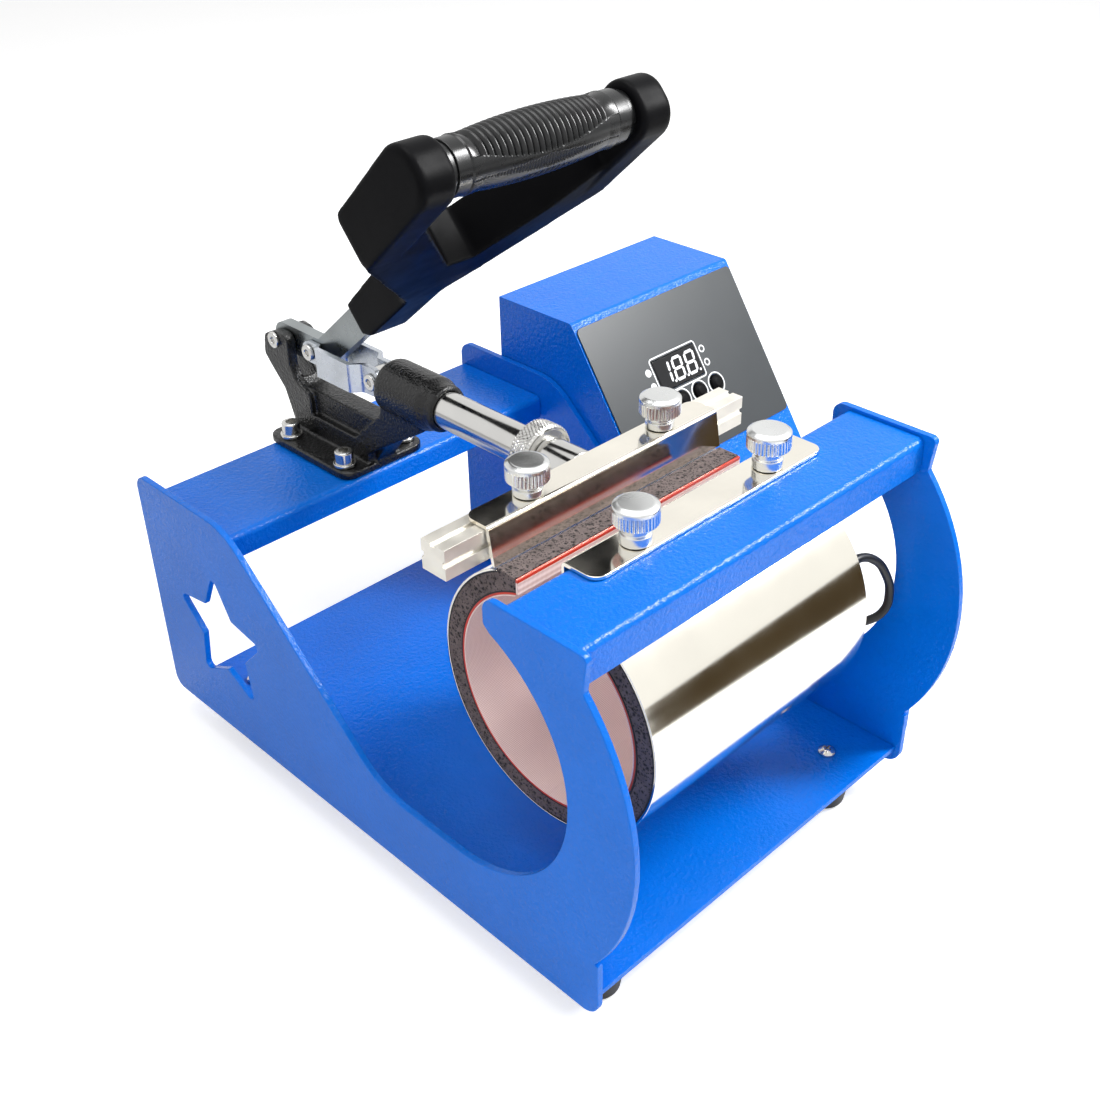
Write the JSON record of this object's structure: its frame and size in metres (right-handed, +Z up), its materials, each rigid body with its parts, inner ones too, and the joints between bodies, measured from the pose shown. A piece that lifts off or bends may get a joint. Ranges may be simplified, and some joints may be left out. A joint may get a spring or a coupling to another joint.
{
  "type": "mug heat press",
  "caption": "Bench mug heat press: a sheet-steel frame holds a wrap-round heater band that a toggle clamp with a fork handle draws shut, with a sloped control box beside it.",
  "frame": {"origin": "bottom centre of the bounding box, on the surface that the feet stand on", "axes": "+X to the right along the mug's axis, +Y to the back where the toggle clamp is, +Z up"},
  "size_m": [0.319, 0.327, 0.3108],
  "materials": {
    "blue_paint": "textured powder coat with a satin gloss",
    "bright_steel": "bright nickel or chrome plate",
    "brushed_steel": "brushed zinc-plated steel",
    "bar_steel": "matt silver drawn bar",
    "black_casting": "black wrinkle coat",
    "black_plastic": "satin moulded plastic",
    "black_rubber": "matt rubber",
    "foam": "open-cell heat-proof foam with pits",
    "silicone": "fabric-faced silicone mat with red edges",
    "overlay_film": "glossy printed film, dark grey fading lighter to the left",
    "display_face": "smoked acrylic window",
    "circuit_board": "green solder mask"
  },
  "bodies": {
    "frame": {"left_side_plate": "blue_paint", "right_side_plate": "blue_paint", "base_plate": "blue_paint", "rear_crossbar": "blue_paint", "front_crossbar": "blue_paint", "foot_front_left": "black_rubber", "foot_front_right": "black_rubber", "foot_rear_left": "black_rubber", "foot_rear_right": "black_rubber", "foot_screw_front_left": "bright_steel", "foot_screw_front_right": "bright_steel", "foot_screw_rear_left": "bright_steel", "foot_screw_rear_right": "bright_steel", "heating_liner": "silicone", "heater_foam": "foam", "heater_shell": "bright_steel", "front_heater_bracket": "bright_steel", "clamp_base": "black_casting", "clamp_bolt_front_left": "bright_steel", "clamp_bolt_front_right": "bright_steel", "clamp_bolt_rear_left": "bright_steel", "clamp_bolt_rear_right": "bright_steel", "lever_pivot_pin": "bright_steel", "control_box": "blue_paint", "box_rear_cover": "blue_paint", "cover_screw_low_left": "bright_steel", "cover_screw_low_right": "bright_steel", "cover_screw_high_left": "bright_steel", "cover_screw_high_right": "bright_steel", "lead_grommet": "black_rubber", "panel_overlay": "overlay_film", "display_module": "display_face", "controller_board": "circuit_board", "power_inlet": "black_plastic", "power_switch_frame": "black_plastic", "solid_state_relay": "black_plastic", "heater_lead": "black_rubber"},
    "handle": {"lever_arm": "brushed_steel", "toggle_pin": "bright_steel", "handle_fork": "black_plastic", "handle_grip": "black_plastic"},
    "carriage": {"plunger_rod": "bright_steel", "plunger_pin": "bright_steel", "bar_hub": "bright_steel", "pressure_bar": "bar_steel", "rear_heater_bracket": "bright_steel"},
    "links": {"link_left": "bright_steel", "link_right": "bright_steel", "toggle_rivet_left": "bright_steel", "toggle_rivet_right": "bright_steel"},
    "collar": {"adjuster_collar": "bright_steel"},
    "front_left_screw": {"front_thumbscrew_left": "bright_steel"},
    "front_right_screw": {"front_thumbscrew_right": "bright_steel"},
    "rear_left_screw": {"rear_thumbscrew_left": "bright_steel"},
    "rear_right_screw": {"rear_thumbscrew_right": "bright_steel"},
    "set_key": {"set_button": "black_plastic"},
    "down_key": {"down_button": "black_plastic"},
    "up_key": {"up_button": "black_plastic"},
    "rocker": {"power_rocker": "black_plastic"}
  },
  "joints": [
    {"name": "handle_swing", "type": "hinge", "parent": "frame", "child": "handle", "pos_m": [-0.0625, 0.15288, 0.1703], "axis": [-1, 0, 0], "range_deg": [0, 105]},
    {"name": "plunger_slide", "type": "slide", "parent": "frame", "child": "carriage", "axis": [0, 1, 0], "range_m": [0, 0.0364]},
    {"name": "link_swing", "type": "hinge", "parent": "carriage", "child": "links", "pos_m": [-0.0625, 0.08188, 0.1703], "axis": [1, 0, 0], "range_deg": [0, 29.6]},
    {"name": "collar_turn", "type": "hinge", "parent": "carriage", "child": "collar", "pos_m": [-0.0625, -0.02112, 0.1703], "axis": [0, 1, 0], "continuous": true},
    {"name": "front_left_screw_turn", "type": "hinge", "parent": "frame", "child": "front_left_screw", "pos_m": [-0.0995, -0.10762, 0.1913], "axis": [0, 0, 1], "continuous": true},
    {"name": "front_right_screw_turn", "type": "hinge", "parent": "frame", "child": "front_right_screw", "pos_m": [-0.0255, -0.10762, 0.1913], "axis": [0, 0, 1], "continuous": true},
    {"name": "rear_left_screw_turn", "type": "hinge", "parent": "carriage", "child": "rear_left_screw", "pos_m": [-0.0995, -0.05308, 0.1883], "axis": [0, 0, 1], "continuous": true},
    {"name": "rear_right_screw_turn", "type": "hinge", "parent": "carriage", "child": "rear_right_screw", "pos_m": [-0.0255, -0.05308, 0.1883], "axis": [0, 0, 1], "continuous": true},
    {"name": "set_press", "type": "slide", "parent": "frame", "child": "set_key", "axis": [0, 0.829, -0.5592], "range_m": [0, 0.0008], "stiffness_N_per_m": 400},
    {"name": "down_press", "type": "slide", "parent": "frame", "child": "down_key", "axis": [0, 0.829, -0.5592], "range_m": [0, 0.0008], "stiffness_N_per_m": 400},
    {"name": "up_press", "type": "slide", "parent": "frame", "child": "up_key", "axis": [0, 0.829, -0.5592], "range_m": [0, 0.0008], "stiffness_N_per_m": 400},
    {"name": "rocker_tilt", "type": "hinge", "parent": "frame", "child": "rocker", "pos_m": [0.1228, 0.11275, 0.0823], "axis": [1, 0, 0], "range_deg": [0, 18]}
  ],
  "couplings": [
    {"joint": "plunger_slide", "follows": "handle_swing", "m_per_rad": 0.019822},
    {"joint": "link_swing", "follows": "handle_swing", "ratio": 0.28146}
  ]
}
